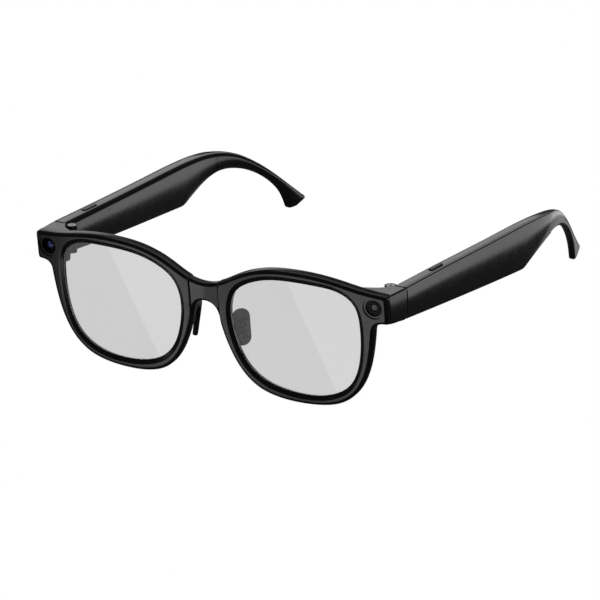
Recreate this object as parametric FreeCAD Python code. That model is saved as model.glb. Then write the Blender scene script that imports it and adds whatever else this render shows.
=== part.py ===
import FreeCAD, Part
import math
import os
from FreeCAD import Vector as V

# Smart glasses: a tilted two-shell front with camera and status light, and two folding temples.
# +X is the wearer's left, +Y runs back along the temples, +Z is up. All sizes are in mm.
# The solids are drawn with the top front corner of the endpieces at y = 0, z = 0 and are
# moved at the end, so that the origin is the middle of the finished box's base.
ORIGIN = V(0, 83.8, -47.36)

# --- front ---
FRONT_HALF = 74.0        # half of the width across the endpieces
WRAP_R = 700.0           # radius of the front's wrap, seen from above
FACE_Y = -4.0            # the front face on the centre line
TILT = 7.0               # lean of the front, the bottom edge further back
SHELL_SEAM = 1.6         # depth of the seam between the two shells
BROW_DEPTH = 4.3         # full depth of the rims at the top
BACK_LEAN = 1.5          # the rims thin out downwards by this angle, to 3 mm at the bottom
EDGE_BEVEL = 0.6         # bevel round the front face
LENS_CENTRE = (36.5, -22.0)
LENS_NEAR = 0.8          # depth of the lens's front surface
LENS_THICK = 1.5
LENS_GROOVE = 0.9        # how far the lens reaches into the rims
BACK_RELIEF = 0.35       # the opening is this much wider behind the lens
# --- endpieces and hinges ---
SPLIT_Y = 13.0           # rear face of the endpieces
SPLIT_GAP = 0.3
BOX_WIDTH = 6.7          # thickness of the endpieces and temples
AXIS_X, AXIS_Y = 67.5, 14.4
KNUCKLE_R = 2.2
PIN_R = 0.7
PIN_FIT = 0.05
KNUCKLES = (-0.7, -3.9, -4.05, -7.55, -7.7, -10.9)
# --- camera and light ---
EYE_X, EYE_Z = 68.6, -5.45
EYE_RECESS_R = 4.1
EYE_DISC_R = 3.2
# --- temples ---
COVER_THICK = 1.1
COVER_END = 121.5
TEMPLE_WALL = 1.3
SEAM = 0.04              # gap in the closed seams
BUTTON_X = 72.3
BUTTON_Y = {"left": 38.6, "right": 33.4}
BUTTON_LEN, BUTTON_WIDE = 8.6, 1.8
CONTACT_FACE = 68.75     # plane of the charging contacts, just under the temple's inner side
# --- nose pads ---
PAD_CENTRE = V(9.6, 8.5, -24.7)
PAD_HIGH, PAD_WIDE, PAD_THICK = 13.6, 6.8, 2.0
PAD_SPLAY = 31.0         # angle of the pad's plane to the middle plane
PAD_FLARE = 8.0          # the pads part towards the bottom

# Lens opening, on the front surface before it is tilted: x, height
OPENING = [(36, -0.2), (47, -0.4), (55, -1.6), (60.4, -5.4), (62.4, -13), (62.3, -21.5),
           (60.9, -30), (57, -37.8), (50, -42.4), (40, -44.2), (30, -43.4), (21.2, -40.3),
           (15, -34), (11.6, -25), (10.6, -16), (13.2, -7.8), (19.5, -3.3), (27.5, -0.9)]
# Upper edge of the front from the bridge to the endpiece corner
BROW = [(0, -6.4), (6, -5.4), (12, -2.4), (17, 0.1), (22, 1.9), (28, 3.2), (36, 3.8),
        (45, 3.6), (54, 2.5), (64, 0.6), (FRONT_HALF, -0.5)]
# Fillet from the endpiece's lower edge to the rim, then the lower edge round to the bridge
FLARE = [(71.0, -11.4), (68.6, -12.5)]
JAW = [(67.9, -15.6), (67.3, -20), (66.1, -26.5), (63.7, -34), (59.7, -40.5), (53.3, -45.3),
       (45.5, -47.4), (36, -47.9), (26.5, -46.9), (19.4, -44.2), (13.7, -39), (9.8, -32.4),
       (7.1, -25.3), (5.6, -19.5), (4.0, -15.4), (0, -13.7)]
# Temple seen from the side: y, z
TOP_LINE = [(SPLIT_Y, 0), (45, -0.45), (80, -0.95), (104, -1.35), (116, -2.2), (126, -3.8),
            (134, -6.2), (142, -10.2), (150, -15.4), (158, -21.6), (166, -28.2), (170.6, -31.9)]
UNDER_LINE = [(161.8, -34.6), (159.4, -29.4), (154.8, -23.8), (148.8, -19), (142, -15.2),
              (134, -12.5), (126, -11.4), (119, -12.0), (111, -14.0), (98.5, -18.5)]
BOTTOM_LINE = [(98.5, -18.5), (40, -14.4), (SPLIT_Y, -12.0)]
# Temple seen from above: y, x of the outer side, thickness
PLAN = [(SPLIT_Y, 75.1, 6.7), (45, 75.6, 6.5), (78, 76.6, 6.4), (104, 77.1, 6.2), (121, 76.2, 5.3),
        (135, 73.4, 4.4), (150, 69.2, 3.8), (164, 65.3, 3.5), (172.5, 63.2, 3.4)]


def box(low, high):
    size = V(*high) - V(*low)
    return Part.makeBox(size.x, size.y, size.z, V(*low))


def spline(points, closed=False):
    curve = Part.BSplineCurve()
    curve.interpolate(Points=points, PeriodicFlag=closed)
    return curve.toShape()


def prism(edges, along):
    return Part.Face(Part.Wire(edges)).extrude(along)


def disc(centre, radius, depth, axis):
    return Part.makeCylinder(radius, depth, centre, axis)


def mirrored(shape):
    return shape.mirror(V(0, 0, 0), V(1, 0, 0))


def tilted(shape):
    turned = shape.copy()
    turned.rotate(V(0, FACE_Y, 0), V(1, 0, 0), TILT)
    return turned


def layer(near, far, lean=0.0):
    """Wrapped sheet between two depths behind the front surface; the back may lean."""
    centre = V(0, FACE_Y + WRAP_R, -60)
    front = Part.makeCylinder(WRAP_R - near, 80, centre)
    back = Part.makeCylinder(WRAP_R - far, 80, centre)
    back.rotate(V(0, FACE_Y + far, 4), V(1, 0, 0), lean)
    return front.cut(back).common(box((-80, FACE_Y - 1, -58), (80, FACE_Y + 30, 18)))


def lens_loop(grow):
    """Closed lens outline, grown outwards from the lens centre."""
    cx, cz = LENS_CENTRE
    points = []
    for x, z in OPENING:
        reach = math.hypot(x - cx, z - cz)
        k = 1 + grow / reach
        points.append(V(cx + (x - cx) * k, FACE_Y - 1, cz + (z - cz) * k))
    return prism([spline(points, closed=True)], V(0, 30, 0))


def front_prism():
    """The whole front seen from ahead, pushed straight back."""
    y = FACE_Y - 1
    brow = [V(-x, y, z) for x, z in reversed(BROW[1:])] + [V(x, y, z) for x, z in BROW]
    jaw = [V(x, y, z) for x, z in JAW] + [V(-x, y, z) for x, z in reversed(JAW[:-1])]
    top = spline(brow)
    bottom = spline(jaw)
    ends = []
    for s in (1, -1):
        corner = V(s * FRONT_HALF, y, BROW[-1][1])
        foot = V(s * FRONT_HALF, y, FLARE[0][1])
        heel, bend, rim = [V(s * x, y, z) for x, z in FLARE + JAW[:1]]
        ends += [Part.makeLine(corner, foot), Part.makeLine(foot, heel),
                 Part.Arc(heel, bend, rim).toShape()]
    return prism(Part.sortEdges([top, bottom] + ends)[0], V(0, 30, 0))


def side_prism(x0, x1):
    """Side view of an endpiece and its temple in one, spread across x."""
    top = spline([V(x0, y, z) for y, z in TOP_LINE])
    under = spline([V(x0, y, z) for y, z in UNDER_LINE])
    low = spline([V(x0, y, z) for y, z in BOTTOM_LINE])
    tail_top, tail_low = V(x0, *TOP_LINE[-1]), V(x0, *UNDER_LINE[0])
    back, heel = V(x0, 171.4, -33.6), V(x0, 166.2, -35.9)
    tip = [Part.makeLine(back, heel),
           Part.Arc(tail_top, V(x0, 171.3, -32.7), back).toShape(),
           Part.Arc(heel, V(x0, 163.2, -35.95), tail_low).toShape()]
    nose = Part.makeLine(V(x0, *TOP_LINE[0]), V(x0, *BOTTOM_LINE[-1]))
    return prism(Part.sortEdges([top, under, low, nose] + tip)[0], V(x1 - x0, 0, 0))


def plan_strip(near, far, y0, y1):
    """Plan of a temple between two lines, pushed down; each line is a rule for x from (x, t)."""
    z = 5
    a = [V(near(x, t), y, z) for y, x, t in PLAN]
    b = [V(far(x, t), y, z) for y, x, t in PLAN]
    edges = [spline(a), spline(b), Part.makeLine(a[0], b[0]), Part.makeLine(a[-1], b[-1])]
    whole = prism(Part.sortEdges(edges)[0], V(0, 0, -50))
    return whole.common(box((40, y0, -60), (90, y1, 10)))


def eye(side, near, far, radius):
    """Disc at the camera or the light, square to the front surface there."""
    lean = math.asin(EYE_X / WRAP_R)
    inward = V(-side * math.sin(lean), math.cos(lean), 0)
    start = V(side * EYE_X, FACE_Y + WRAP_R * (1 - math.cos(lean)), EYE_Z) + inward * near
    return tilted(disc(start, radius, far - near, inward))


def eye_box(side, near, far, wide, high):
    """Box behind the camera or the light, square to the front surface there."""
    block = Part.makeBox(wide, far - near, high, V(-wide / 2, near, -high / 2))
    lean = math.asin(EYE_X / WRAP_R)
    block.rotate(V(0, 0, 0), V(0, 0, 1), side * math.degrees(lean))
    block.translate(V(side * EYE_X, FACE_Y + WRAP_R * (1 - math.cos(lean)), EYE_Z))
    return tilted(block)


def brow_band(high, low, reach):
    """Band that follows the brow, between two distances below it."""
    y = FACE_Y - 1
    inner = [(x, z) for x, z in BROW if x < 60] + [(68, 0.0)]
    lines = []
    for drop in (high, low):
        half = [V(x, y, z - drop) for x, z in inner]
        lines.append([V(-p.x, p.y, p.z) for p in reversed(half[1:])] + half)
    ends = [Part.makeLine(lines[0][k], lines[1][k]) for k in (0, -1)]
    band = prism(Part.sortEdges([spline(line) for line in lines] + ends)[0], V(0, 30, 0))
    return band.common(box((-reach, -20, -20), (reach, 40, 20)))


nodes = {}

# ---------------------------------------------------------------- front shells and lenses
outline = front_prism()
face_sheet = outline.common(layer(0, SHELL_SEAM))
back_sheet = outline.common(layer(SHELL_SEAM + SEAM, BROW_DEPTH, -BACK_LEAN))
for mate in (lambda s: s, mirrored):
    opening = mate(lens_loop(0))
    slot = mate(lens_loop(LENS_GROOVE)).common(layer(LENS_NEAR, LENS_NEAR + LENS_THICK))
    face_sheet = face_sheet.cut([opening, slot])
    back_sheet = back_sheet.cut([mate(lens_loop(BACK_RELIEF)), slot])
    glass = mate(lens_loop(LENS_GROOVE - SEAM)).common(
        layer(LENS_NEAR + SEAM, LENS_NEAR + LENS_THICK - SEAM))
    nodes["lens_left" if mate is not mirrored else "lens_right"] = tilted(glass)

# The outer edge of the front face is bevelled all round.
front_skin = min(face_sheet.Faces, key=lambda f: f.CenterOfMass.y)
face_sheet = face_sheet.makeChamfer(EDGE_BEVEL, front_skin.OuterWire.Edges)

face = tilted(face_sheet)
back = tilted(back_sheet)

# ---------------------------------------------------------------- endpieces
block_plan = [V(FRONT_HALF, -3, 5), V(75.1, SPLIT_Y, 5), V(75.1 - BOX_WIDTH, SPLIT_Y, 5),
              V(68.2, 11, 5), V(66, 8.8, 5), V(62.5, 7, 5), V(58.5, 5.4, 5), V(58.5, -3, 5)]
block_side = [V(50, -6, 0), V(50, SPLIT_Y, 0), V(50, SPLIT_Y, -12.0), V(50, 1, -10.85),
              V(50, -6, -10.4)]
block = Part.Face(Part.makePolygon(block_plan + block_plan[:1])).extrude(V(0, 0, -20))
block = block.common(Part.Face(Part.makePolygon(block_side + block_side[:1])).extrude(V(30, 0, 0)))
block = block.cut(tilted(layer(-30, SHELL_SEAM + SEAM)))
block = block.cut(tilted(lens_loop(LENS_GROOVE)))
rear = back.fuse([block, mirrored(block)]).removeSplitter()

# Channel in the rear shell for the flexible circuit that joins the two endpieces.
rear = rear.cut(tilted(brow_band(0.9, 2.5, 66.5).common(layer(SHELL_SEAM - 0.5, 2.2))))
nodes["front_flex"] = tilted(brow_band(1.0, 2.4, 65.2).common(layer(1.8, 2.0)))

# ---------------------------------------------------------------- camera and light
for side in (-1, 1):
    face = face.cut([eye(side, -2, 3, EYE_RECESS_R)])
    rear = rear.cut([eye(side, 1, 2.3, EYE_RECESS_R), eye(side, 1, 4.4, 3.0),
                     eye_box(side, 4.2, 6.9, 6.2, 6.6)])
    bezel = eye(side, 0.45, 2.2, EYE_RECESS_R - SEAM).cut(eye(side, 0, 3, EYE_DISC_R))
    lip = eye(side, 1.85, 2.2, EYE_DISC_R + 0.2).cut(eye(side, 0, 3, 2.6))
    nodes["camera_bezel" if side < 0 else "light_bezel"] = bezel.fuse(lip)
nodes["camera_window"] = eye(-1, 0.95, 1.85 - SEAM, EYE_DISC_R - SEAM)
nodes["camera_lens_barrel"] = eye(-1, 1.9, 4.2, 2.5).cut(eye(-1, 1.0, 2.5, 1.5))
nodes["camera_lens"] = eye(-1, 2.2, 2.5 - SEAM, 1.46)
nodes["camera_sensor"] = eye_box(-1, 4.25, 6.7, 6.0, 6.4)
nodes["light_window"] = eye(1, 0.95, 1.85 - SEAM, EYE_DISC_R - SEAM).cut(eye(1, 0, 3, 1.7))
nodes["light_diffuser"] = eye(1, 0.85, 2.6, 1.66)
nodes["light_board"] = eye_box(1, 3.6, 4.3, 3.6, 3.6).fuse(eye_box(1, 2.8, 3.6, 1.6, 1.6)).fuse(
    eye_box(1, 4.3, 5.1, 5.6, 6.0))

# ---------------------------------------------------------------- hinges
axis = V(0, 0, -1)
top_hi, top_lo, mid_hi, mid_lo, low_hi, low_lo = KNUCKLES
pin_at = lambda z: V(AXIS_X, AXIS_Y, z)
groove = disc(pin_at(3), KNUCKLE_R + 0.35, 25, axis)
shank_bore = disc(pin_at(2), PIN_R + PIN_FIT, 20, axis)
head_seat = disc(pin_at(2), 1.55, 2 - top_hi + 0.6, axis)
plate_x0, plate_x1 = 70.3, 74.1


def knuckle(high, low):
    return disc(pin_at(high), KNUCKLE_R, high - low, axis)


def web(y0, y1, high, low):
    return box((AXIS_X, y0, low), (plate_x0 + 0.5, y1, high))


front_leaf = box((plate_x0, 12.0, -10.9), (plate_x1, SPLIT_Y, -1.4))
temple_leaf = box((plate_x0, SPLIT_Y + SPLIT_GAP, -10.9), (plate_x1, SPLIT_Y + SPLIT_GAP + 1.0, -1.4))
for high, low in ((top_hi, top_lo), (low_hi, low_lo)):
    front_leaf = front_leaf.fuse([knuckle(high, low), web(12.3, SPLIT_Y, high, low)])
middle = knuckle(mid_hi, mid_lo).fuse(web(SPLIT_Y + SPLIT_GAP, 14.3, mid_hi, mid_lo))
temple_leaf = temple_leaf.fuse(middle)
cutters = [shank_bore, head_seat]
front_leaf = front_leaf.cut(cutters)
temple_leaf = temple_leaf.cut(shank_bore)
screw_spots = [(72.3, -3.6), (72.3, -8.7)]
front_screws, temple_screws, screw_holes = [], [], []
for x, z in screw_spots:
    front_leaf = front_leaf.cut([disc(V(x, 11, z), 0.65, 3, V(0, 1, 0)),
                                 disc(V(x, 12.5, z), 1.15, 3, V(0, 1, 0))])
    temple_leaf = temple_leaf.cut([disc(V(x, 12, z), 0.65, 4, V(0, 1, 0)),
                                   disc(V(x, 11.8, z), 1.15, 2, V(0, 1, 0))])
    driver = [box((x - 0.7, 12.85, z - 0.12), (x + 0.7, 13.45, z + 0.12)),
              box((x - 0.12, 12.85, z - 0.7), (x + 0.12, 13.45, z + 0.7))]
    front_screws.append(disc(V(x, 12.52, z), 1.1, 0.46, V(0, 1, 0)).fuse(
        disc(V(x, 9.6, z), 0.6, 3, V(0, 1, 0))).cut(driver))
    temple_screws.append(disc(V(x, 13.32, z), 1.1, 0.46, V(0, 1, 0)).fuse(
        disc(V(x, 13.7, z), 0.6, 3, V(0, 1, 0))).cut(driver))
    screw_holes.append(disc(V(x, 9.4, z), 0.62, 8, V(0, 1, 0)))
pin = disc(pin_at(top_hi - 0.6 + SEAM), PIN_R, 9.5, axis).fuse(disc(pin_at(top_hi - 0.02), 1.5, 0.54, axis))
pin = pin.cut([box((AXIS_X - 1.0, AXIS_Y - 0.16, top_hi - 0.3), (AXIS_X + 1.0, AXIS_Y + 0.16, 1)),
               box((AXIS_X - 0.16, AXIS_Y - 1.0, top_hi - 0.3), (AXIS_X + 0.16, AXIS_Y + 1.0, 1))])
front_room = box((plate_x0 - 2.5, 12.0 - SEAM, -10.95), (plate_x1 + SEAM, SPLIT_Y + 1, -1.35)).fuse(
    box((AXIS_X, 12.3 - SEAM, -10.95), (plate_x0 + 0.5 + SEAM, SPLIT_Y + 1, top_hi + SEAM)))
temple_room = box((plate_x0 - 2.5, SPLIT_Y, -10.95),
                  (plate_x1 + SEAM, SPLIT_Y + SPLIT_GAP + 1.0 + SEAM, -1.35))
end_cuts = [groove, front_room] + screw_holes
rear = rear.cut(end_cuts + [mirrored(c) for c in end_cuts])

# ---------------------------------------------------------------- nose pads
pin_back = PAD_THICK / 2 + 1.5      # the rocking pin stands this far behind the pad's middle


def pad_place(shape):
    """Moves a shape from the pad's own axes (width x, face +y, height z) to the left pad."""
    shape = shape.copy()
    shape.rotate(V(0, 0, 0), V(1, 0, 0), -PAD_FLARE)
    shape.rotate(V(0, 0, 0), V(0, 0, 1), 90 - PAD_SPLAY)
    shape.translate(PAD_CENTRE)
    return shape


half = PAD_WIDE / 2
pad = box((-half, -PAD_THICK / 2, -PAD_HIGH / 2), (half, PAD_THICK / 2, PAD_HIGH / 2))
pad = pad.makeFillet(half - 0.3, [e for e in pad.Edges if e.Length < PAD_THICK + 0.1])
pad = pad.makeFillet(0.7, [e for e in pad.Edges if abs(e.CenterOfMass.y) > PAD_THICK / 2 - 0.01])
for z in (-1.9, 1.9):
    lug = disc(V(0, -pin_back, z - 0.6), 1.3, 1.2, V(0, 0, 1)).fuse(
        box((-1.3, -pin_back, z - 0.6), (1.3, -PAD_THICK / 2 + 0.2, z + 0.6)))
    pad = pad.fuse(lug)
pad = pad.cut(disc(V(0, -pin_back, -4), PIN_R + PIN_FIT, 8, V(0, 0, 1)))
rock_pin = disc(V(0, -pin_back, -2.6), PIN_R, 5.2, V(0, 0, 1)).fuse(
    disc(V(0, -pin_back, -1.0), 1.1, 2.0, V(0, 0, 1)))
foot_x, foot_z = 8.4, -20.5
foot = tilted(disc(V(foot_x, FACE_Y + BROW_DEPTH - 0.45, foot_z), 1.5, 0.6, V(0, 1, 0)).fuse(
    disc(V(foot_x, FACE_Y + 2.7, foot_z), 0.6, 2.0, V(0, 1, 0))))
rear_hole = tilted(disc(V(foot_x, FACE_Y + 2.6, foot_z), 0.62, 4, V(0, 1, 0)))
rear = rear.cut([rear_hole, mirrored(rear_hole)])
stem_from = tilted(Part.Vertex(V(foot_x, FACE_Y + BROW_DEPTH - 0.1, foot_z))).Point
stem_to = pad_place(Part.Vertex(V(0, -pin_back, 0))).Point
knee = V(stem_to.x + 0.9, stem_from.y + 1.6, stem_to.z + 1.2)


def rod(a, b, r):
    return disc(a, r, (b - a).Length, b - a)


arm = foot.fuse([rod(stem_from, knee, 0.55), Part.makeSphere(0.55, knee), rod(knee, stem_to, 0.55),
                 pad_place(rock_pin)])

for name, shape in (("hinge_front_leaf", front_leaf), ("hinge_pin", pin),
                    ("hinge_front_screws", Part.makeCompound(front_screws)),
                    ("nose_pad_arm", arm), ("nose_pad", pad)):
    shape = pad_place(shape) if name == "nose_pad" else shape
    nodes[name + "_left"], nodes[name + "_right"] = shape, mirrored(shape)

nodes["front_shell"], nodes["rear_shell"] = face, rear

# ---------------------------------------------------------------- temples
whole = side_prism(50, 85).common(plan_strip(lambda x, t: x, lambda x, t: x - t,
                                             SPLIT_Y + SPLIT_GAP, 173))
# Behind the cover the ear hook is a little thinner.
whole = whole.cut(plan_strip(lambda x, t: x + 3, lambda x, t: x - 0.35, COVER_END, 173))
cover_zone = plan_strip(lambda x, t: x + 1, lambda x, t: x - COVER_THICK, SPLIT_Y, COVER_END)
body_zone = plan_strip(lambda x, t: x + 1, lambda x, t: x - COVER_THICK - SEAM, SPLIT_Y,
                       COVER_END + SEAM)
cover = whole.common(cover_zone)
hull = whole.cut(body_zone)
room_side = [(18, -1.65), (45, -2.0), (80, -2.5), (104, -3.0), (114, -4.2), (114, -11.8),
             (98, -16.6), (40, -12.9), (18, -10.9)]
room_wire = [V(60, y, z) for y, z in room_side + room_side[:1]]
room = Part.Face(Part.makePolygon(room_wire)).extrude(V(25, 0, 0)).common(
    plan_strip(lambda x, t: x + 2, lambda x, t: x - t + TEMPLE_WALL, 17, 115))
hull = hull.cut(room)

# Push button in a slot through the top wall, with a flange that keeps it in.
def pill(y, length, width, low, high):
    """Long round-ended block on a button's centre."""
    r = width / 2
    reach = length / 2 - r
    ends = [disc(V(BUTTON_X, y + k * reach, low), r, high - low, V(0, 0, 1)) for k in (-1, 1)]
    return box((BUTTON_X - r, y - reach, low), (BUTTON_X + r, y + reach, high)).fuse(
        ends).removeSplitter()


mic_y, mic_z = 42.4, -3.1
hull = hull.cut(disc(V(66, mic_y, mic_z), 0.3, 5, V(1, 0, 0)))
mic = box((70.35, mic_y - 1.4, mic_z - 1.7), (71.4, mic_y + 1.4, mic_z + 0.2))

board = box((73.0, 19.0, -10.4), (73.8, 56.0, -4.4))
for y, z, wide, high, tall in ((25, -7.0, 5.5, 5.0, 1.2), (33.5, -7.8, 4.0, 4.0, 0.9),
                               (42.5, -7.4, 6.5, 5.0, 1.3), (51.0, -6.8, 4.0, 3.0, 1.0)):
    board = board.fuse(box((73.0 - tall, y - wide / 2, z - high / 2), (73.0, y + wide / 2, z + high / 2)))
battery = box((72.15, 58.5, -13.4), (74.7, 97.5, -3.6))
battery = battery.makeFillet(1.2, [e for e in battery.Edges if e.Length > 30])
speaker = box((72.5, 100.0, -12.4), (75.1, 111.5, -4.4))
speaker = speaker.makeFillet(1.0, [e for e in speaker.Edges if e.Length < 3])
for k in range(4):
    y = 101.0 + 2.4 * k
    hull = hull.cut(box((72.8, y, -19), (75.0, y + 1.0, -13.2)))
mesh_line = [(99.6, -16.0), (110.6, -12.75), (110.6, -12.45), (99.6, -15.7)]
mesh_face = Part.Face(Part.makePolygon([V(72.5, y, z) for y, z in mesh_line + mesh_line[:1]]))
mesh = mesh_face.extrude(V(2.8, 0, 0))

hull = hull.cut([groove, temple_room] + screw_holes)
cover = cover.cut(temple_room)
contacts = [disc(V(CONTACT_FACE, y, -7.6), 1.0, 1.7, V(1, 0, 0)) for y in (21.5, 25.0)]
contact_holes = [disc(V(66, y, -7.6), 1.03, 4.4, V(1, 0, 0)) for y in (21.5, 25.0)]

for side, mate in (("left", lambda s: s), ("right", mirrored)):
    y = BUTTON_Y[side]
    shell = hull.cut(pill(y, BUTTON_LEN + 0.3, BUTTON_WIDE + 0.3, -2.5, 1))
    if side == "right":
        shell = shell.cut(contact_holes)
    button = pill(y, BUTTON_LEN, BUTTON_WIDE, -2.0, 0.1).fuse(
        pill(y, BUTTON_LEN + 1.0, BUTTON_WIDE + 1.0, -2.45, -2.05))
    switch = box((BUTTON_X - 1.4, y - 1.8, -4.3), (BUTTON_X + 1.4, y + 1.8, -3.1)).fuse(
        disc(V(BUTTON_X, y, -3.1), 0.8, 0.22, V(0, 0, 1)))
    for name, shape in (("temple_body", shell), ("temple_cover", cover), ("button", button),
                        ("button_switch", switch), ("microphone", mic), ("circuit_board", board),
                        ("battery", battery), ("speaker", speaker), ("speaker_mesh", mesh),
                        ("hinge_temple_leaf", temple_leaf),
                        ("hinge_temple_screws", Part.makeCompound(temple_screws))):
        nodes[name + "_" + side] = mate(shape)
nodes["charging_contacts"] = mirrored(Part.makeCompound(contacts))

# ---------------------------------------------------------------- export
os.makedirs("parts", exist_ok=True)
for name, shape in nodes.items():
    shape = shape.copy()
    shape.translate(-ORIGIN)
    if not shape.isValid() or shape.Volume < 0.1:
        raise RuntimeError(name + " is not a good solid")
    shape.exportStep("parts/" + name + ".step")
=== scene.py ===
import math

import bmesh
import bpy
import numpy as np
from mathutils import Matrix, Vector
from mathutils.geometry import delaunay_2d_cdt


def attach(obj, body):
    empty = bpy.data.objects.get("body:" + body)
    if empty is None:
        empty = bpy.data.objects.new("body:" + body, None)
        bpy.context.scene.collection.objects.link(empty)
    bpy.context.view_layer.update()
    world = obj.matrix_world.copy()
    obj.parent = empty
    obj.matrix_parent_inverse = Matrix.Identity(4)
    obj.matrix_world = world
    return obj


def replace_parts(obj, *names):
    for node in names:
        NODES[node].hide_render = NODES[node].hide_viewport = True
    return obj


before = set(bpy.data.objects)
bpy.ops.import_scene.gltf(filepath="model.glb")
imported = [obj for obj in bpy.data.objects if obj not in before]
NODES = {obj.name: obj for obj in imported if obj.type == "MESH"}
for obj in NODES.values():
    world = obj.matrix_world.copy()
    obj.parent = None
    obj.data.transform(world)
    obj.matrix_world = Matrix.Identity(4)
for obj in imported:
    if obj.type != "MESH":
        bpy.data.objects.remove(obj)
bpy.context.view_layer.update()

MM = 0.001
# The CAD's drawing origin in the row frame, in mm: meshes below are laid out in drawing mm.
ORIGIN = np.array([0.0, 83.8, -47.36])

# Sizes repeated from the CAD, in mm
FACE_Y, WRAP_R, TILT = -4.0, 700.0, 7.0
SHELL_SEAM, BROW_DEPTH, BACK_LEAN = 1.6, 4.3, 1.5
SPLIT_Y, SPLIT_GAP = 13.0, 0.3
EYE_X, EYE_Z, EYE_RECESS_R = 68.6, -5.45, 4.1
SEAM, BACK_RELIEF = 0.04, 0.35
AXIS_X, AXIS_Y = 67.5, 14.4
COVER_THICK, COVER_END = 1.1, 121.5
BUTTON_X, BUTTON_Y = 72.3, {"left": 38.6, "right": 33.4}
BUTTON_LEN, BUTTON_WIDE = 8.6, 1.8
# Lens opening: x, height
OPENING = [(36, -0.2), (47, -0.4), (55, -1.6), (60.4, -5.4), (62.4, -13), (62.3, -21.5),
           (60.9, -30), (57, -37.8), (50, -42.4), (40, -44.2), (30, -43.4), (21.2, -40.3),
           (15, -34), (11.6, -25), (10.6, -16), (13.2, -7.8), (19.5, -3.3), (27.5, -0.9)]
# Upper edge of the front, from the bridge to the endpiece corner
BROW = [(0, -6.4), (6, -5.4), (12, -2.4), (17, 0.1), (22, 1.9), (28, 3.2), (36, 3.8),
        (45, 3.6), (54, 2.5), (64, 0.6), (74, -0.5)]
# From the endpiece's lower edge to the rim, then the lower edge round to the bridge
FLARE = [(71.0, -11.4), (68.6, -12.5)]
JAW = [(67.9, -15.6), (67.3, -20), (66.1, -26.5), (63.7, -34), (59.7, -40.5), (53.3, -45.3),
       (45.5, -47.4), (36, -47.9), (26.5, -46.9), (19.4, -44.2), (13.7, -39), (9.8, -32.4),
       (7.1, -25.3), (5.6, -19.5), (4.0, -15.4), (0, -13.7)]
# Temple seen from the side: y, z
TOP_LINE = [(13, 0), (45, -0.45), (80, -0.95), (104, -1.35), (116, -2.2), (126, -3.8),
            (134, -6.2), (142, -10.2), (150, -15.4), (158, -21.6), (166, -28.2), (170.6, -31.9)]
UNDER_LINE = [(98.5, -18.5), (111, -14.0), (119, -12.0), (126, -11.4), (134, -12.5), (142, -15.2),
              (148.8, -19), (154.8, -23.8), (159.4, -29.4), (161.8, -34.6)]
BOTTOM_LINE = [(13, -12.0), (40, -14.4), (98.5, -18.5)]
# Temple seen from above: y, x of the outer side, thickness
PLAN = [(13, 75.1, 6.7), (45, 75.6, 6.5), (78, 76.6, 6.4), (104, 77.1, 6.2), (121, 76.2, 5.3),
        (135, 73.4, 4.4), (150, 69.2, 3.8), (164, 65.3, 3.5), (172.5, 63.2, 3.4)]


# ------------------------------------------------------------------ camera
def look_from(azimuth, elevation, roll, distance, target, lens):
    """Camera at the given angles round the target, all in degrees and metres."""
    a, e, t = (math.radians(v) for v in (azimuth, elevation, roll))
    right = Vector((math.cos(a), math.sin(a), 0))
    up = Vector((-math.sin(a) * math.sin(e), math.cos(a) * math.sin(e), math.cos(e)))
    back = Vector((math.sin(a) * math.cos(e), -math.cos(a) * math.cos(e), math.sin(e)))
    axes = (right * math.cos(t) - up * math.sin(t), right * math.sin(t) + up * math.cos(t), back)
    data = bpy.data.cameras.new("camera")
    data.lens, data.sensor_width, data.clip_end = lens, 36.0, 20.0
    cam = bpy.data.objects.new("camera", data)
    bpy.context.scene.collection.objects.link(cam)
    turn = Matrix(axes).transposed().to_4x4()
    cam.matrix_world = Matrix.Translation(Vector(target) + back * distance) @ turn
    bpy.context.scene.camera = cam


look_from(30.752, 19.516, 0.259, 1.5, (0.030898, -0.070525, 0.034974), 251.4)


# ------------------------------------------------------------------ node helpers
class Look:
    """A procedural material; its nodes are added by name."""

    def __init__(self, name):
        self.mat = bpy.data.materials.new(name)
        self.mat.use_nodes = True
        self.tree = self.mat.node_tree
        self.tree.nodes.clear()
        self.out = self.add("ShaderNodeOutputMaterial")

    def add(self, kind, **values):
        node = self.tree.nodes.new(kind)
        for key, value in values.items():
            if hasattr(node, key) and key not in node.inputs:
                setattr(node, key, value)
            else:
                node.inputs[key].default_value = value
        return node

    def link(self, a, out, b, socket):
        self.tree.links.new(a.outputs[out], b.inputs[socket])

    def place(self):
        return self.add("ShaderNodeTexCoord")

    def noise(self, coords, scale, detail=3.0, rough=0.5):
        node = self.add("ShaderNodeTexNoise")
        node.inputs["Scale"].default_value = scale
        node.inputs["Detail"].default_value = detail
        node.inputs["Roughness"].default_value = rough
        self.link(coords, "Object", node, "Vector")
        return node

    def ramp(self, source, out, stops):
        node = self.add("ShaderNodeValToRGB")
        band = node.color_ramp
        while len(band.elements) < len(stops):
            band.elements.new(0.5)
        for element, (place, value) in zip(band.elements, stops):
            element.position = place
            element.color = (*value, 1) if isinstance(value, tuple) else (value,) * 3 + (1,)
        self.link(source, out, node, "Fac")
        return node


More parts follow.
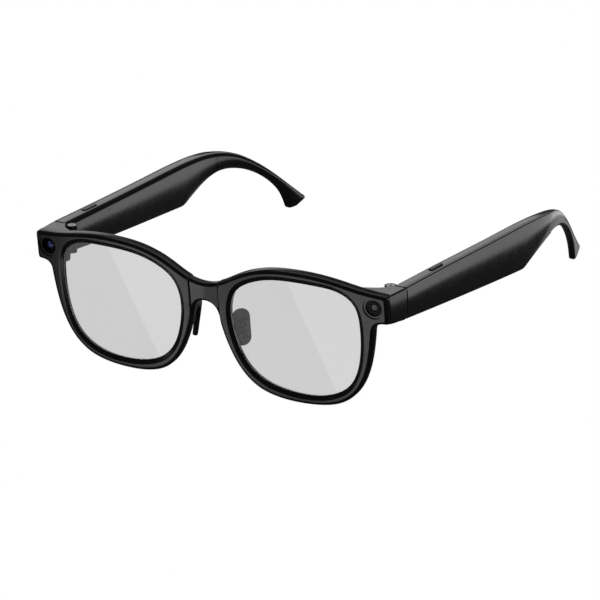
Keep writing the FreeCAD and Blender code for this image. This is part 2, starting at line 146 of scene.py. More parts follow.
def moulded(name, colour, rough, grain=0.25, bump=0.0025, spec=0.5, coat=0.0):
    """Moulded plastic: a fine grain, soft flow marks, and slightly uneven gloss."""
    look = Look(name)
    bsdf = look.add("ShaderNodeBsdfPrincipled")
    coords = look.place()
    fine = look.noise(coords, 1 / (grain * MM), 3.0, 0.6)
    flow = look.noise(coords, 60.0, 2.0)
    dark, light = (tuple(c * k for c in colour) for k in (0.85, 1.18))
    look.link(look.ramp(flow, "Fac", [(0.3, dark), (0.7, light)]), "Color", bsdf, "Base Color")
    gloss = look.noise(coords, 240.0, 4.0, 0.65)
    look.link(look.ramp(gloss, "Fac", [(0.3, rough * 0.88), (0.7, rough * 1.12)]), "Color", bsdf, "Roughness")
    bsdf.inputs["Specular IOR Level"].default_value = spec
    bsdf.inputs["Coat Weight"].default_value = coat
    relief = look.add("ShaderNodeBump")
    relief.inputs["Strength"].default_value = bump
    relief.inputs["Distance"].default_value = 0.00005
    look.link(fine, "Fac", relief, "Height")
    look.link(relief, "Normal", bsdf, "Normal")
    look.link(bsdf, "BSDF", look.out, "Surface")
    return look


def metal(name, colour, rough, grain=0.12):
    """Worked metal whose colour and polish vary over a fine grain."""
    look = Look(name)
    bsdf = look.add("ShaderNodeBsdfPrincipled")
    bsdf.inputs["Metallic"].default_value = 1.0
    coords = look.place()
    fine = look.noise(coords, 1 / (grain * MM), 4.0, 0.7)
    dark, light = (tuple(c * k for c in colour) for k in (0.8, 1.1))
    look.link(look.ramp(fine, "Fac", [(0.3, dark), (0.7, light)]), "Color", bsdf, "Base Color")
    look.link(look.ramp(fine, "Fac", [(0.3, rough * 0.8), (0.7, rough * 1.25)]), "Color", bsdf, "Roughness")
    look.link(bsdf, "BSDF", look.out, "Surface")
    return look


def glassy(name, colour, rough=0.02, ior=1.5):
    """Clear or tinted lens with a very faint unevenness."""
    look = Look(name)
    bsdf = look.add("ShaderNodeBsdfPrincipled")
    bsdf.inputs["Transmission Weight"].default_value = 1.0
    bsdf.inputs["IOR"].default_value = ior
    coords = look.place()
    haze = look.noise(coords, 30.0, 2.0)
    dark, light = (tuple(c * k for c in colour) for k in (0.992, 1.008))
    look.link(look.ramp(haze, "Fac", [(0.3, dark), (0.7, light)]), "Color", bsdf, "Base Color")
    look.link(look.ramp(haze, "Fac", [(0.3, rough * 0.8), (0.7, rough * 1.2)]), "Color", bsdf, "Roughness")
    look.link(bsdf, "BSDF", look.out, "Surface")
    return look


LOOKS = {
    "front_plastic": moulded("front_plastic", (0.008, 0.008, 0.0085), 0.19),
    "temple_plastic": moulded("temple_plastic", (0.008, 0.008, 0.0085), 0.15),
    "button_plastic": moulded("button_plastic", (0.006, 0.006, 0.0065), 0.3, spec=0.35),
    "bezel_black": moulded("bezel_black", (0.006, 0.006, 0.006), 0.2),
    "window_black": moulded("window_black", (0.002, 0.002, 0.003), 0.1, bump=0.0, spec=0.06),
    "lens_grey": glassy("lens_grey", (0.605, 0.605, 0.61), 0.005),
    # camera_glass: an opaque dome whose strong blue base colour is a painted reflection, standing in for the
    # coated lens's blue glint; its coat adds real reflections of the lamps
    "camera_glass": moulded("camera_glass", (0.12, 0.15, 0.85), 0.06, bump=0.0, spec=1.0, coat=1.0),
    "diffuser_grey": moulded("diffuser_grey", (0.7, 0.7, 0.72), 0.45),
    "pad_silicone": moulded("pad_silicone", (0.02, 0.02, 0.021), 0.3),
    "hinge_black": moulded("hinge_black", (0.008, 0.008, 0.009), 0.35, spec=0.2),
    "screw_steel": metal("screw_steel", (0.42, 0.42, 0.43), 0.3),
    "switch_black": moulded("switch_black", (0.02, 0.02, 0.02), 0.5),
    "bright_metal": metal("bright_metal", (0.6, 0.6, 0.6), 0.3),
    "board_green": moulded("board_green", (0.01, 0.09, 0.03), 0.4),
    "foil_silver": metal("foil_silver", (0.5, 0.5, 0.52), 0.35),
    "flex_amber": moulded("flex_amber", (0.35, 0.15, 0.03), 0.35),
    "gold_contact": metal("gold_contact", (0.9, 0.62, 0.25), 0.22),
}
for name, obj in NODES.items():
    for k, mat in enumerate(obj.data.materials):
        slot = mat.name.split(".")[0]
        obj.data.materials[k] = LOOKS[slot].mat if slot in LOOKS else mat


# ------------------------------------------------------------------ smooth lines
def smooth(points, spacing):
    """Evenly spaced points on the smooth curve through the given points."""
    p = np.array(points, float)
    t = np.concatenate([[0], np.cumsum(np.linalg.norm(np.diff(p, axis=0), axis=1))])
    n, h = len(p), np.diff(t)
    a, b = np.eye(n), np.zeros_like(p)
    for i in range(1, n - 1):
        a[i, i - 1:i + 2] = h[i - 1], 2 * (h[i - 1] + h[i]), h[i]
        b[i] = 6 * ((p[i + 1] - p[i]) / h[i] - (p[i] - p[i - 1]) / h[i - 1])
    m = np.linalg.solve(a, b)
    s = np.linspace(0, t[-1], 60 * n)
    k = np.clip(np.searchsorted(t, s, "right") - 1, 0, n - 2)
    u, v = (t[k + 1] - s)[:, None], (s - t[k])[:, None]
    hk = h[k][:, None]
    q = (m[k] * u ** 3 + m[k + 1] * v ** 3) / (6 * hk) + (p[k] / hk - m[k] * hk / 6) * u + \
        (p[k + 1] / hk - m[k + 1] * hk / 6) * v
    return respace(q, spacing)


def respace(q, spacing):
    """Evenly spaced points along a line of straight runs."""
    run = np.concatenate([[0], np.cumsum(np.linalg.norm(np.diff(q, axis=0), axis=1))])
    count = max(2, int(round(run[-1] / spacing)) + 1)
    want = np.linspace(0, run[-1], count)
    return np.stack([np.interp(want, run, q[:, c]) for c in range(q.shape[1])], axis=1)


def round_off(depth, radius):
    """How far a rounded edge stands back at a depth below its top."""
    return radius - math.sqrt(max(0.0, radius ** 2 - max(0.0, radius - depth) ** 2))


# ------------------------------------------------------------------ meshes
def piece(name, verts, faces, body, slot, mirror=False):
    """Mesh object from points in drawing mm; the mirrored one is for the wearer's right."""
    co = np.array(verts, float)
    if mirror:
        co[:, 0] *= -1
    mesh = bpy.data.meshes.new(name)
    mesh.from_pydata(((co - ORIGIN) * MM).tolist(), [], faces)
    shell = bmesh.new()
    shell.from_mesh(mesh)
    bmesh.ops.recalc_face_normals(shell, faces=shell.faces)
    if shell.calc_volume(signed=True) < 0:
        bmesh.ops.reverse_faces(shell, faces=shell.faces)
    shell.to_mesh(mesh)
    shell.free()
    obj = bpy.data.objects.new(name, mesh)
    bpy.context.scene.collection.objects.link(obj)
    if body:
        mesh.materials.append(LOOKS[slot].mat)
        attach(obj, body)
    return obj


def settle(obj, angle=34.0):
    """Shades smooth between edges sharper than the angle."""
    obj.data.polygons.foreach_set("use_smooth", [True] * len(obj.data.polygons))
    obj.data.set_sharp_from_angle(angle=math.radians(angle))
    weight = obj.modifiers.new("weighted", "WEIGHTED_NORMAL")
    weight.keep_sharp = True
    return obj


def carve(obj, cutters):
    """Cuts closed meshes out of an object; the cutters are removed afterwards."""
    for k, cutter in enumerate(cutters):
        cut = obj.modifiers.new(f"cut{k}", "BOOLEAN")
        cut.operation, cut.solver, cut.object = "DIFFERENCE", "EXACT", cutter
    graph = bpy.context.evaluated_depsgraph_get()
    mesh = bpy.data.meshes.new_from_object(obj.evaluated_get(graph))
    obj.modifiers.clear()
    obj.data = mesh
    for cutter in cutters:
        bpy.data.objects.remove(cutter)
    return obj


def loft(rings):
    """Points and faces of a tube through closed rings, with flat ends."""
    n = len(rings[0])
    faces = []
    for k in range(len(rings) - 1):
        for i in range(n):
            j = (i + 1) % n
            faces.append((k * n + i, k * n + j, (k + 1) * n + j, (k + 1) * n + i))
    faces.append(tuple(reversed(range(n))))
    faces.append(tuple((len(rings) - 1) * n + i for i in range(n)))
    return np.concatenate(rings), faces


def block(low, high, mirror=False):
    """Box used only as a cutter."""
    (x0, y0, z0), (x1, y1, z1) = low, high
    ring = [(x0, y0), (x1, y0), (x1, y1), (x0, y1)]
    rings = [np.array([(x, y, z) for x, y in ring]) for z in (z0, z1)]
    verts, faces = loft(rings)
    return piece("cutter", verts, faces, None, None, mirror)


def drill(start, along, radius, mirror=False, sides=48):
    """Cylinder used only as a cutter."""
    start, along = Vector(start), Vector(along)
    side = along.orthogonal().normalized()
    other = along.normalized().cross(side)
    rings = []
    for base in (start, start + along):
        rings.append(np.array([base + (side * math.cos(t) + other * math.sin(t)) * radius
                               for t in np.linspace(0, 2 * math.pi, sides, endpoint=False)]))
    verts, faces = loft(rings)
    return piece("cutter", verts, faces, None, None, mirror)


# ------------------------------------------------------------------ temples
KNUCKLE_ROOM_R = 2.55    # room round the hinge's knuckles


def section(v0, v1, w0, w1, radii, steps=5):
    """Closed outline of a rectangle, thickness v by height w, with a radius at each corner.

    Corners run low outer, low inner, high inner, high outer."""
    corners = [((v0, w0), (1, 1)), ((v1, w0), (-1, 1)), ((v1, w1), (-1, -1)), ((v0, w1), (1, -1))]
    out = []
    for k, ((v, w), (sv, sw)) in enumerate(corners):
        r = radii[k]
        start = math.pi + k * math.pi / 2
        for i in range(steps + 1):
            t = start + (math.pi / 2) * i / steps
            out.append((v + sv * r + r * math.cos(t), w + sw * r + r * math.sin(t)))
        (nv, nw), (nsv, nsw) = corners[(k + 1) % 4]
        nr = radii[(k + 1) % 4]
        a = np.array(out[-1])
        t = math.pi + ((k + 1) % 4) * math.pi / 2
        b = np.array((nv + nsv * nr + nr * math.cos(t), nw + nsw * nr + nr * math.sin(t)))
        between = 9 if k % 2 else 4
        for i in range(1, between):
            out.append(tuple(a + (b - a) * i / between))
    return np.array(out)


plan = smooth(PLAN, 0.5)
top_line, under_line = smooth(TOP_LINE, 0.25), smooth(UNDER_LINE, 0.25)
low_line = np.concatenate([smooth(BOTTOM_LINE, 0.25)[:-1], under_line])
SIDE_CROWN, TOP_CROWN = 0.5, 0.22        # how far the sides and the top bulge
BODY_RADII = (0.22, 1.9, 1.7, 0.22)      # corners of the body against the cover
HOOK_RADII = (1.5, 1.9, 1.7, 1.3)        # corners of the ear hook
COVER_RADII = (0.8, 0.18, 0.18, 0.42)
COVER_GAP = 0.04                         # between the cover and the body
FRONT_EDGE, COVER_EDGE, HOOK_EDGE = 0.3, 0.18, 0.22   # roundings at the front, the cover's end and behind it
HOOK_STEP = 0.35                         # the hook's outer side stands in from the cover's
HOOK_BLEND = 14.0                        # the hook's corners round off over this length
HOOK_START = 126.0                       # behind this the cross-sections turn with the hook
KNEE_Y = 98.5                            # where the lower edge turns upwards
TIP_EDGE = 1.1
# The tip's end seen from the side, and where along the last cross-section each point belongs
TIP_LINE = np.array([(161.8, -34.6), (163.2, -35.95), (166.2, -35.9),
                     (171.4, -33.6), (171.3, -32.7), (170.6, -31.9)])
TIP_SHARE = (0, 0.12, 0.36, 0.86, 0.94, 1.0)


def outer_x(y):
    return np.interp(y, plan[:, 0], plan[:, 1])


def thickness(y):
    return np.interp(y, plan[:, 0], plan[:, 2])


def along(line, share):
    """Point at a share of the way along a line of evenly spaced points."""
    places = np.linspace(0, 1, len(line))
    return np.array([np.interp(share, places, line[:, c]) for c in (0, 1)])


def stations():
    """Pairs of points, low and high, that the temple's cross-sections join."""
    pairs = []
    ys = np.concatenate([np.arange(SPLIT_Y + SPLIT_GAP, KNEE_Y - 3, 1.4),
                         np.arange(KNEE_Y - 3, KNEE_Y + 3.5, 0.35), np.arange(102, 121.2, 0.9),
                         [COVER_END - 0.04, COVER_END, COVER_END + 0.04, COVER_END + 0.25],
                         np.arange(122.2, HOOK_START, 0.8)])
    for y in ys:
        near = np.linspace(y - 1.3, y + 1.3, 9) if abs(y - KNEE_Y) < 2.5 else [y]
        low = np.mean(np.interp(near, low_line[:, 0], low_line[:, 1]))
        pairs.append((np.array([y, low]), np.array([y, np.interp(y, top_line[:, 0], top_line[:, 1])])))
    rear_top, rear_low = top_line[top_line[:, 0] > HOOK_START], under_line[under_line[:, 0] > HOOK_START]
    for share in (k / 45 for k in range(46)):
        pairs.append((along(rear_low, share), along(rear_top, share)))
    return pairs


def temple_ring(low, high, v0, v1, radii, inset=0.0, bend=None):
    """One cross-section in space; v runs inwards from the outer side."""
    reach = np.linalg.norm(high - low)
    e = (high - low) / reach
    t = thickness((low[0] + high[0]) / 2)
    v1 = t if v1 is None else v1
    largest = (v1 - v0 - 2 * inset) * 0.47
    ring = section(v0 + inset, v1 - inset, inset, reach - inset, [min(r, largest) for r in radii])
    v, w = ring[:, 0], ring[:, 1]
    a, b = 2 * w / reach - 1, 2 * v / t - 1
    swell = min(1.0, t / 6.5)
    bulge = SIDE_CROWN * swell
    v = v + bulge * (1 - v / t) * np.abs(a) ** 2.2 - bulge * (v / t) * np.abs(a) ** 2.2
    w = w - TOP_CROWN * (w / reach) * np.maximum(b, -0.2) ** 2 + TOP_CROWN * (1 - w / reach) * b ** 2
    yz = low + np.outer(w, e)
    if bend is not None:
        yz = yz + np.array([bend(k) for k in np.clip(w / reach, 0, 1)])
    return np.stack([outer_x(yz[:, 0]) - v, yz[:, 0], yz[:, 1]], axis=1)


def tip_bend(share):
    """How far the tip's end stands behind the last cross-section at a share of its height."""
    start, end = TIP_LINE[0], TIP_LINE[-1]
    chord = start + (end - start) * share
    return np.array([np.interp(share, TIP_SHARE, TIP_LINE[:, c]) for c in (0, 1)]) - chord


def temple_rings():
    """Cross-sections of the body with its hook, and of the cover."""
    pairs = stations()
    low, high = pairs[0]
    edge = np.array([FRONT_EDGE, 0])
    pairs.insert(1, (low + edge, high + edge))
    body, cover = [], []
    for k, (low, high) in enumerate(pairs):
        y = low[0]
        inset = FRONT_EDGE if k == 0 else 0.0
        if y <= COVER_END + 0.01:
            body.append(temple_ring(low, high, COVER_THICK + COVER_GAP, None, BODY_RADII, inset))
            inset = COVER_EDGE if y > COVER_END - 0.02 else inset
            cover.append(temple_ring(low, high, 0.0, COVER_THICK, COVER_RADII, inset))
        else:
            inset = HOOK_EDGE if y < COVER_END + 0.1 else 0.0
            share = min(1.0, (y - COVER_END) / HOOK_BLEND)
            start = COVER_RADII[:1] + HOOK_RADII[1:3] + COVER_RADII[3:]
            radii = [p + (q - p) * share for p, q in zip(start, HOOK_RADII)]
            body.append(temple_ring(low, high, HOOK_STEP, None, radii, inset))
    low, high = pairs[-1]
    for w in (0.3, 0.6, 0.78, 0.88, 0.95, 0.985, 1.0):
        pull = TIP_EDGE * (1 - math.sqrt(1 - w ** 8)) if w < 1 else TIP_EDGE
        body.append(temple_ring(low, high, HOOK_STEP, None, HOOK_RADII, pull, lambda u: tip_bend(u) * w))
    return body, cover


def leaf_room(mirror):
    """Room for the hinge's plate in a temple's front end."""
    return block((67.8, 12.0, -10.95), (74.14, 14.34, -1.35), mirror)


def temple(side):
    mirror = side == "right"
    body_name = f"{side}_temple"
    rings, cover = temple_rings()
    shell = piece(f"temple_shell_{side}", *loft(rings), body_name, "temple_plastic", mirror)
    cutters = [drill((AXIS_X, AXIS_Y, 3), (0, 0, -25), KNUCKLE_ROOM_R, mirror), leaf_room(mirror)]
    for k in range(4):      # speaker slots in the lower edge
        y = 101.0 + 2.4 * k
        cutters.append(block((72.8, y, -19), (75.0, y + 1.0, -13.2), mirror))
    cutters.append(drill((66, 42.4, -3.1), (4.2, 0, 0), 0.3, mirror, 24))      # microphone
    slot = [pill_ring(side, BUTTON_LEN + 0.3 + g, BUTTON_WIDE + 0.3 + g, z)
            for z, g in ((-2.5, 0), (-0.42, 0), (-0.2, 0.3), (1, 0.8))]
    cutters.append(piece("cutter", *loft(slot), None, None, mirror))
    if mirror:      # charging contacts
        cutters += [drill((66, y, -7.6), (4.6, 0, 0), 1.03, mirror, 32) for y in (21.5, 25.0)]
    settle(carve(shell, cutters))
    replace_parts(shell, f"temple_body_{side}")
    lid = piece(f"temple_lid_{side}", *loft(cover), body_name, "temple_plastic", mirror)
    settle(carve(lid, [leaf_room(mirror)]))
    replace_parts(lid, f"temple_cover_{side}")


def pill_ring(side, length, width, z, steps=10):
    """Long round-ended outline on a button's centre."""
    r, reach = width / 2, length / 2 - width / 2
    out = []
    for k, sign in enumerate((1, -1)):
        for i in range(steps + 1):
            t = math.pi * (i / steps) + k * math.pi
            out.append((BUTTON_X + r * math.cos(t), BUTTON_Y[side] + sign * reach + r * math.sin(t), z))
    return np.array(out)


def make_button(side):
    """Cap with a rolled edge on top of its flange."""
    profile = [(1.0, -2.45), (1.0, -2.05), (0.0, -2.0)]
    profile += [(-2 * round_off(d, 0.32), 0.1 - d) for d in (0.32, 0.24, 0.16, 0.09, 0.04, 0.01)]
    profile.append((-1.1, 0.1))
    rings = [pill_ring(side, BUTTON_LEN + grow, BUTTON_WIDE + grow, z) for grow, z in profile]
    cap = piece(f"button_cap_{side}", *loft(rings), f"{side}_button", "button_plastic", side == "right")
    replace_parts(settle(cap, 40), f"button_{side}")


for side in ("left", "right"):
    temple(side)
    make_button(side)


# ------------------------------------------------------------------ front
def wrap(x):
    """Depth of the front surface on the wrapped face at x, before the tilt."""
    return FACE_Y + WRAP_R - np.sqrt(WRAP_R ** 2 - np.asarray(x, float) ** 2)


def tilted(points):
    """Leans points with the front, about the middle of its face."""
    p = np.array(points, float)
    c, s = math.cos(math.radians(TILT)), math.sin(math.radians(TILT))
    y, z = p[:, 1] - FACE_Y, p[:, 2].copy()
    p[:, 1], p[:, 2] = FACE_Y + y * c - z * s, y * s + z * c
    return p


def soften(loop, sigma, spacing):
    """Rounds the corners of a closed line, which is resampled first."""
    loop = respace(np.vstack([loop, loop[:1]]), spacing)[:-1]
    span = int(3 * sigma / spacing)
    kernel = np.exp(-0.5 * (np.arange(-span, span + 1) * spacing / sigma) ** 2)
    kernel /= kernel.sum()
    return sum(w * np.roll(loop, k, axis=0) for k, w in zip(range(-span, span + 1), kernel))


def offset(loop, distances, side):
    """Rings at growing distances from a closed line, eased so that they never cross."""
    rings, at, current = [], 0.0, loop.copy()
    for d in distances:
        while at < d - 1e-9:
            step = min(0.06, d - at)
            ahead = np.roll(current, -1, axis=0) - np.roll(current, 1, axis=0)
            normal = np.stack([-ahead[:, 1], ahead[:, 0]], axis=1) * side
            current = current + normal / np.linalg.norm(normal, axis=1)[:, None] * step
            middle = (np.roll(current, -1, axis=0) + np.roll(current, 1, axis=0)) / 2
            current = current + (middle - current) * 0.4
            at += step
        rings.append(current.copy())
    return rings


def inside(points, loop):
    """Which points lie inside a closed line."""
    hit = np.zeros(len(points), bool)
    for (x0, z0), (x1, z1) in zip(loop, np.roll(loop, -1, axis=0)):
        if z0 != z1:
            cross = (points[:, 1] < z0) != (points[:, 1] < z1)
            hit ^= cross & (points[:, 0] < (x1 - x0) * (points[:, 1] - z0) / (z1 - z0) + x0)
    return hit


def bridge(x):
    """1 on the bridge panel, 0 on the rims."""
    t = np.clip((6.35 - np.abs(x)) / 0.6, 0, 1)
    return t * t * (3 - 2 * t)


def outline_loop():
    """The whole front seen from ahead, anticlockwise."""
    brow = smooth([(-x, z) for x, z in reversed(BROW[1:])] + BROW, 0.4)
    jaw = smooth(JAW + [(-x, z) for x, z in reversed(JAW[:-1])], 0.4)
    heel, bend, rim = (np.array(p) for p in FLARE + JAW[:1])
    flare = smooth([heel, bend, rim], 0.3)
    foot = np.array([(74.0, -11.4)])
    mirror = np.array([-1, 1])
    loop = np.vstack([brow[::-1], foot * mirror, flare * mirror, jaw[::-1][1:-1], flare[::-1], foot])
    return soften(loop, 0.8, 0.4)


def opening_loop(grow):
    """One lens opening seen from ahead, clockwise."""
    loop = smooth(OPENING[-3:] + OPENING + OPENING[:4], 0.4)
    away = np.linalg.norm(loop - OPENING[0], axis=1)
    half = len(loop) // 2
    loop = soften(loop[np.argmin(away[:half]):half + np.argmin(away[half:])], 0.5, 0.4)
    return offset(loop, [grow], 1)[0] if grow else loop


def slab(near, far, edge, rim, grow):
    """Sheet of the front with two lens openings.

    near and far give the depth of its two faces from (x, z); edge and rim are lists of
    (distance in from the outline or the opening, drop of the near face, rise of the far face)."""
    outer = offset(outline_loop(), [e[0] for e in edge], 1)
    left = offset(opening_loop(grow), [r[0] for r in rim], 1)
    right = [ring * (-1, 1) for ring in left]
    points, drops, rises, quads = [], [], [], []
    count = 0
    last = []
    for rings, table in ((outer, edge), (left, rim), (right, rim)):
        n = len(rings[0])
        for k, ring in enumerate(rings):
            points.append(ring)
            drops += [table[k][1]] * n
            rises += [table[k][2]] * n
            if k:
                a, b = count - n, count
                quads += [(a + i, a + (i + 1) % n, b + (i + 1) % n, b + i) for i in range(n)]
            count += n
        last.append(list(range(count - n, count)))
    rings = np.concatenate(points)
    xs = np.arange(-74, 74, 1.5)
    grid = np.array([(x + (0.75 if k % 2 else 0), z)
                     for k, z in enumerate(np.arange(-49, 5, 1.3)) for x in xs])
    marks = np.array([(s * x, z) for s in (-1, 1) for x in (5.75, 6.05, 6.35, 6.7)
                      for z in np.arange(-16, -3, 0.6)])
    grid = np.vstack([grid[np.abs(np.abs(grid[:, 0]) - 6.2) > 1.0], marks])
    keep = inside(grid, outer[-1]) & ~inside(grid, left[-1]) & ~inside(grid, right[-1])
    grid = grid[keep]
    ends = np.concatenate([outer[-1], left[-1], right[-1]])
    gap = np.min(np.linalg.norm(grid[:, None] - ends[None], axis=2), axis=1)
    grid = grid[gap > 0.45]
    index = [i for loop in last for i in loop] + list(range(count, count + len(grid)))
    flat = np.vstack([rings, grid])
    at, edges = 0, []
    for loop in last:
        edges += [(at + i, at + (i + 1) % len(loop)) for i in range(len(loop))]
        at += len(loop)
    found = delaunay_2d_cdt([Vector(flat[i]) for i in index], edges, [], 0, 1e-6)
    origin = [o[0] for o in found[3]]
    tris = np.array([[index[origin[i]] for i in f] for f in found[2]])
    centres = flat[tris].mean(axis=1)
    good = inside(centres, outer[-1]) & ~inside(centres, left[-1]) & ~inside(centres, right[-1])
    tris = [tuple(t) for t in tris[good]]
    zero = np.zeros(len(grid))
    x, z = flat[:, 0], flat[:, 1]
    shift = 0.2 * bridge(x) * (z > -9)
    front = near(x, z) + np.concatenate([drops, zero])
    rear = far(x, z) - np.concatenate([rises, zero])
    base = wrap(x)
    verts = np.vstack([np.stack([x, base + front, z - shift], axis=1),
                       np.stack([x, base + rear, z - shift], axis=1)])
    n = len(flat)
    faces = quads + tris
    faces += [tuple(i + n for i in f) for f in faces]
    start = 0
    for loops in (outer, left, right):
        m = len(loops[0])
        for i in range(m):
            a, b = start + i, start + (i + 1) % m
            faces.append((a, a + n, b + n, b))
        start += m * len(loops)
    return tilted(verts), faces


def face_depth(x, z):
    """Depth of the front face: nothing but the bridge's set-back panel, at every height."""
    ridge = 0.42 - 0.24 * (1 - np.minimum(np.abs(x), 6) / 6)
    return bridge(x) * ridge


def seam_depth(x, z):
    return np.full(len(x), SHELL_SEAM)


def rear_seam_depth(x, z):
    return seam_depth(x, z) + SEAM


def back_depth(x, z):
    return BROW_DEPTH - (4 - z) * math.tan(math.radians(BACK_LEAN)) - 0.3 * bridge(x)


def eye_cut(side, near, far, radius):
    """Cutter at the camera or the light, square to the wrapped face."""
    lean = math.asin(EYE_X / WRAP_R)
    inward = np.array([-side * math.sin(lean), math.cos(lean), 0])
    start = np.array([side * EYE_X, float(wrap(EYE_X)), EYE_Z])
    a, b = tilted([start + inward * near, start + inward * far])
    return drill(a, b - a, radius, sides=72)


# Profiles of the edges: distance in, drop of the near face, rise of the far face
FACE_EDGE = [(0, 0.80, 0.10), (0.06, 0.66, 0), (0.15, 0.55, 0), (0.30, 0.40, 0), (0.42, 0.285, 0),
             (0.48, 0.24, 0), (0.6, 0.18, 0), (0.8, 0.10, 0), (1.0, 0.04, 0), (1.2, 0, 0), (1.35, 0, 0)]
FACE_RIM = [(0, 0.86, 0), (0.04, 0.80, 0), (0.3, 0.66, 0), (0.6, 0.52, 0), (0.9, 0.38, 0), (1.1, 0.28, 0),
            (1.16, 0.24, 0), (1.28, 0.19, 0), (1.45, 0.12, 0), (1.65, 0.05, 0), (1.85, 0, 0), (2.0, 0, 0)]
BACK_EDGE = [(d, 0.12 if d == 0 else 0, round_off(d, 1.1))
             for d in (0, 0.03, 0.1, 0.22, 0.4, 0.65, 0.9, 1.1, 1.3)]
BACK_RIM = [(d, 0, round_off(d, 0.7)) for d in (0, 0.03, 0.1, 0.2, 0.35, 0.5, 0.7, 1.0, 1.4)]


def make_front():
    """Both shells of the front, the rear one with its endpieces."""
    sheet = slab(face_depth, seam_depth, FACE_EDGE, FACE_RIM, 0)
    face = piece("front_face", *sheet, "front", "front_plastic")
    settle(carve(face, [eye_cut(s, -2, 3, EYE_RECESS_R) for s in (-1, 1)]), 28)
    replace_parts(face, "front_shell")
    sheet = slab(rear_seam_depth, back_depth, BACK_EDGE, BACK_RIM, BACK_RELIEF)
    back = piece("front_back", *sheet, "front", "front_plastic")
    carve(back, [c for s in (-1, 1) for c in (eye_cut(s, 1, 2.3, EYE_RECESS_R), eye_cut(s, 1.5, 4.6, 3.0))])
    end = endpiece()
    merged = bmesh.new()
    merged.from_mesh(back.data)
    merged.from_mesh(end.data)
    end.data.transform(Matrix.Diagonal((-1, 1, 1, 1)))
    end.data.flip_normals()
    merged.from_mesh(end.data)
    merged.to_mesh(back.data)
    merged.free()
    bpy.data.objects.remove(end)
    settle(back, 30)
    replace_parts(back, "rear_shell")


def endpiece():
    """Block between the front and the hinge, with its hinge rooms cut out."""
    plan_line = np.array([(74.3, 1.6), (74.6, 6), (75.1, 13), (68.4, 13), (68.2, 11), (66, 8.8), (62.5, 7),
                          (58.5, 5.4), (58.5, 0.6)], float)
    loop = soften(plan_line, 0.22, 0.25)
    top_r, low_r = 0.55, 0.8      # rounding of the top and bottom edges

    def bottom(y):
        return np.interp(y, [-6, 1, 13], [-10.4, -10.85, -12.0])

    rings = []
    for up in [0.0] + [low_r * (1 - math.cos(t)) for t in np.linspace(0.3, math.pi / 2, 6)]:
        ring = offset(loop, [max(round_off(up, low_r), 1e-6)], 1)[0]
        rings.append(np.column_stack([ring, bottom(ring[:, 1]) + up]))
    for share in np.linspace(0, 1, 12)[1:-1]:
        low = bottom(loop[:, 1]) + low_r
        rings.append(np.column_stack([loop, low + (-top_r - low) * share]))
    for t in np.linspace(math.pi / 2, 0.0, 7):
        down = top_r * (1 - math.cos(t))
        ring = offset(loop, [max(round_off(down, top_r), 1e-6)], 1)[0]
        rings.append(np.column_stack([ring, np.full(len(ring), -down)]))
    for ring in rings:
        level = np.clip(-ring[:, 2] / 11.5, 0, 1) * 2 - 1
        ring[:, 0] -= 0.45 * np.abs(level) ** 2.2 * (ring[:, 0] > 72)
        lean = np.clip(1 - (ring[:, 1] - 1.6) / 4, 0, 1)
        ring[:, 1] += -ring[:, 2] * math.tan(math.radians(TILT)) * lean
    verts, faces = loft(rings)
    obj = piece("endpiece", verts, faces, None, None)
    line = opening_loop(0.9)
    lens_room = loft([tilted(np.column_stack([line[:, 0], np.full(len(line), y), line[:, 1]]))
                      for y in (-8, 25)])
    return carve(obj, [drill((AXIS_X, AXIS_Y, 3), (0, 0, -25), KNUCKLE_ROOM_R),
                       block((67.8, 11.96, -10.95), (74.14, 14, -1.35)),
                       block((67.0, 12.26, -10.95), (70.84, 14, -0.65)),
                       piece("cutter", *lens_room, None, None),
                       eye_cut(1, 1, 2.3, EYE_RECESS_R), eye_cut(1, 1, 4.4, 3.0)])


make_front()


# ------------------------------------------------------------------ camera and light
def turned(name, side, profile, slot, node, closed=False):
    """Turned piece on the eye's axis, from (depth, radius) pairs; replaces a CAD node."""
    lean = math.asin(EYE_X / WRAP_R)
    inward = np.array([-side * math.sin(lean), math.cos(lean), 0])
    across = np.array([math.cos(lean) * side, math.sin(lean), 0])
    up = np.array([0, 0, 1])
    start = np.array([side * EYE_X, float(wrap(EYE_X)), EYE_Z])
    sides = 64
    circle = [across * math.cos(t) + up * math.sin(t)
              for t in np.linspace(0, 2 * math.pi, sides, endpoint=False)]
    rings = [np.array([start + inward * depth + way * radius for way in circle]) for depth, radius in profile]
    verts, faces = loft(rings)
    if closed:
        last = (len(profile) - 1) * sides
        faces = faces[:-2] + [(last + i, last + (i + 1) % sides, (i + 1) % sides, i) for i in range(sides)]
    obj = settle(piece(name, tilted(verts), faces, "front", slot), 30)
    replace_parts(obj, node)


def domed(depth, rise, radius):
    """Profile of a low dome from near its rim to its middle."""
    return [(depth + rise * (r / radius) ** 2, r) for r in (1.2, 1.0, 0.8, 0.6, 0.4, 0.2, 0.02) if r < radius]


# The windows are rings, so that the camera's lens and the light show in the middle.
turned("camera_face", -1,
       [(1.80, 1.35), (1.80, 3.12), (1.05, 3.14), (0.97, 3.06), (0.97, 2.05), (1.02, 1.98), (1.08, 1.90),
        (1.40, 1.40)], "window_black", "camera_window", closed=True)
# The front lens dome's blue is a painted reflection from its base colour; only the coat's reflections of the
# lamps are real.
turned("camera_front_lens", -1, [(1.80, 1.33), (1.46, 1.33)] + domed(1.06, 0.4, 1.33),
       "camera_glass", "camera_lens")
turned("light_face", 1,
       [(1.80, 1.16), (1.80, 3.12), (1.05, 3.14), (0.97, 3.06), (0.97, 2.40), (1.12, 2.32), (1.12, 2.18),
        (0.97, 2.10), (0.97, 1.45), (1.15, 1.16)], "window_black", "light_window", closed=True)
turned("light_dome", 1, [(2.55, 1.13), (1.18, 1.13)] + domed(1.02, 0.16, 1.13),
       "diffuser_grey", "light_diffuser")


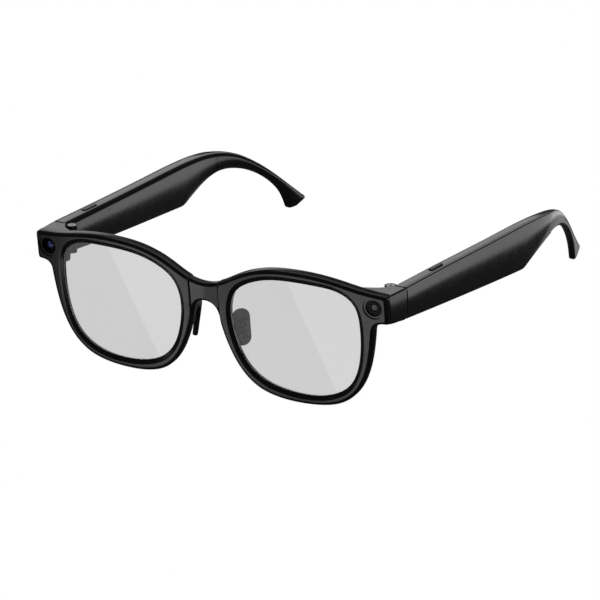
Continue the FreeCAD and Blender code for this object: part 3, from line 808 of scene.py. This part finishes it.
# ------------------------------------------------------------------ floor and light
def emitter(name, colour, strength):
    look = Look(name)
    glow = look.add("ShaderNodeEmission")
    glow.inputs["Color"].default_value = (*colour, 1)
    glow.inputs["Strength"].default_value = strength
    look.link(glow, "Emission", look.out, "Surface")
    look.mat.cycles.emission_sampling = "NONE"
    return look.mat


def card(name, centre, towards, wide, high, mat):
    """Flat sheet that faces a point."""
    mesh = bpy.data.meshes.new(name)
    w, h = wide / 2, high / 2
    mesh.from_pydata([(-w, -h, 0), (w, -h, 0), (w, h, 0), (-w, h, 0)], [], [(0, 1, 2, 3)])
    obj = bpy.data.objects.new(name, mesh)
    bpy.context.scene.collection.objects.link(obj)
    way = Vector(towards) - Vector(centre)
    obj.matrix_world = Matrix.Translation(Vector(centre)) @ way.to_track_quat("Z", "Y").to_matrix().to_4x4()
    mesh.materials.append(mat)
    return obj


def dome(name, radius, mat):
    """Ball round the whole studio, so that the floor has no far edge."""
    mesh = bpy.data.meshes.new(name)
    ball = bmesh.new()
    bmesh.ops.create_uvsphere(ball, u_segments=48, v_segments=24, radius=radius)
    ball.to_mesh(mesh)
    ball.free()
    obj = bpy.data.objects.new(name, mesh)
    bpy.context.scene.collection.objects.link(obj)
    mesh.materials.append(mat)
    return obj


pale = emitter("studio_white", (1, 1, 1), 1.0)
for obj in (card("floor", (0, 0, -0.0005), (0, 0, 1), 12, 12, pale), dome("backdrop", 7.0, pale)):
    obj.visible_glossy = False
    obj.visible_diffuse = False
    obj.visible_shadow = False


def lamp(name, place, wide, high, power, aim=(0, 0, 0.03)):
    data = bpy.data.lights.new(name, "AREA")
    data.shape, data.size, data.size_y, data.energy = "RECTANGLE", wide, high, power
    obj = bpy.data.objects.new(name, data)
    bpy.context.scene.collection.objects.link(obj)
    obj.location = place
    obj.rotation_mode = "QUATERNION"
    obj.rotation_quaternion = (Vector(aim) - Vector(place)).to_track_quat("-Z", "Y")
    return obj


lamp("top", (0.0, 0.1, 1.6), 2.4, 2.0, 10)
lamp("back", (-1.2, 2.2, 0.95), 2.6, 0.9, 7.5)
lamp("side", (0.95, 2.3, -0.27), 3.2, 0.85, 11)
lamp("heel", (0.25, 2.4, -0.85), 0.9, 0.7, 1.1)
lamp("right", (2.3, -0.5, 0.3), 1.6, 1.0, 4)
lamp("left", (-2.3, -0.3, 0.3), 1.6, 1.0, 3)
lamp("low", (-1.3, -1.9, -1.2), 1.1, 0.6, 1.5)

# Two small boards below and in front, whose slanted edges show in the lenses.
for k, (near_end, far_end, across) in enumerate((
        ((-0.310, -0.331, -0.118), (-0.212, -0.345, -0.241), (0.048, -0.044, 0)),
        ((-0.151, -0.388, -0.132), (-0.070, -0.382, -0.238), (0.080, -0.041, 0)))):
    mesh = bpy.data.meshes.new(f"board{k}")
    a, b, w = Vector(near_end), Vector(far_end), Vector(across)
    mesh.from_pydata([a, b, b + w, a + w], [], [(0, 1, 2, 3)])
    mesh.materials.append(emitter(f"board_glow{k}", (1, 1, 1), 1.9))
    board = bpy.data.objects.new(f"board{k}", mesh)
    bpy.context.scene.collection.objects.link(board)
    board.visible_diffuse = False

world = bpy.data.worlds.new("world")
world.use_nodes = True
world.node_tree.nodes["Background"].inputs["Color"].default_value = (1, 1, 1, 1)
world.node_tree.nodes["Background"].inputs["Strength"].default_value = 0.05
bpy.context.scene.world = world
bpy.context.scene.view_settings.view_transform = "Standard"
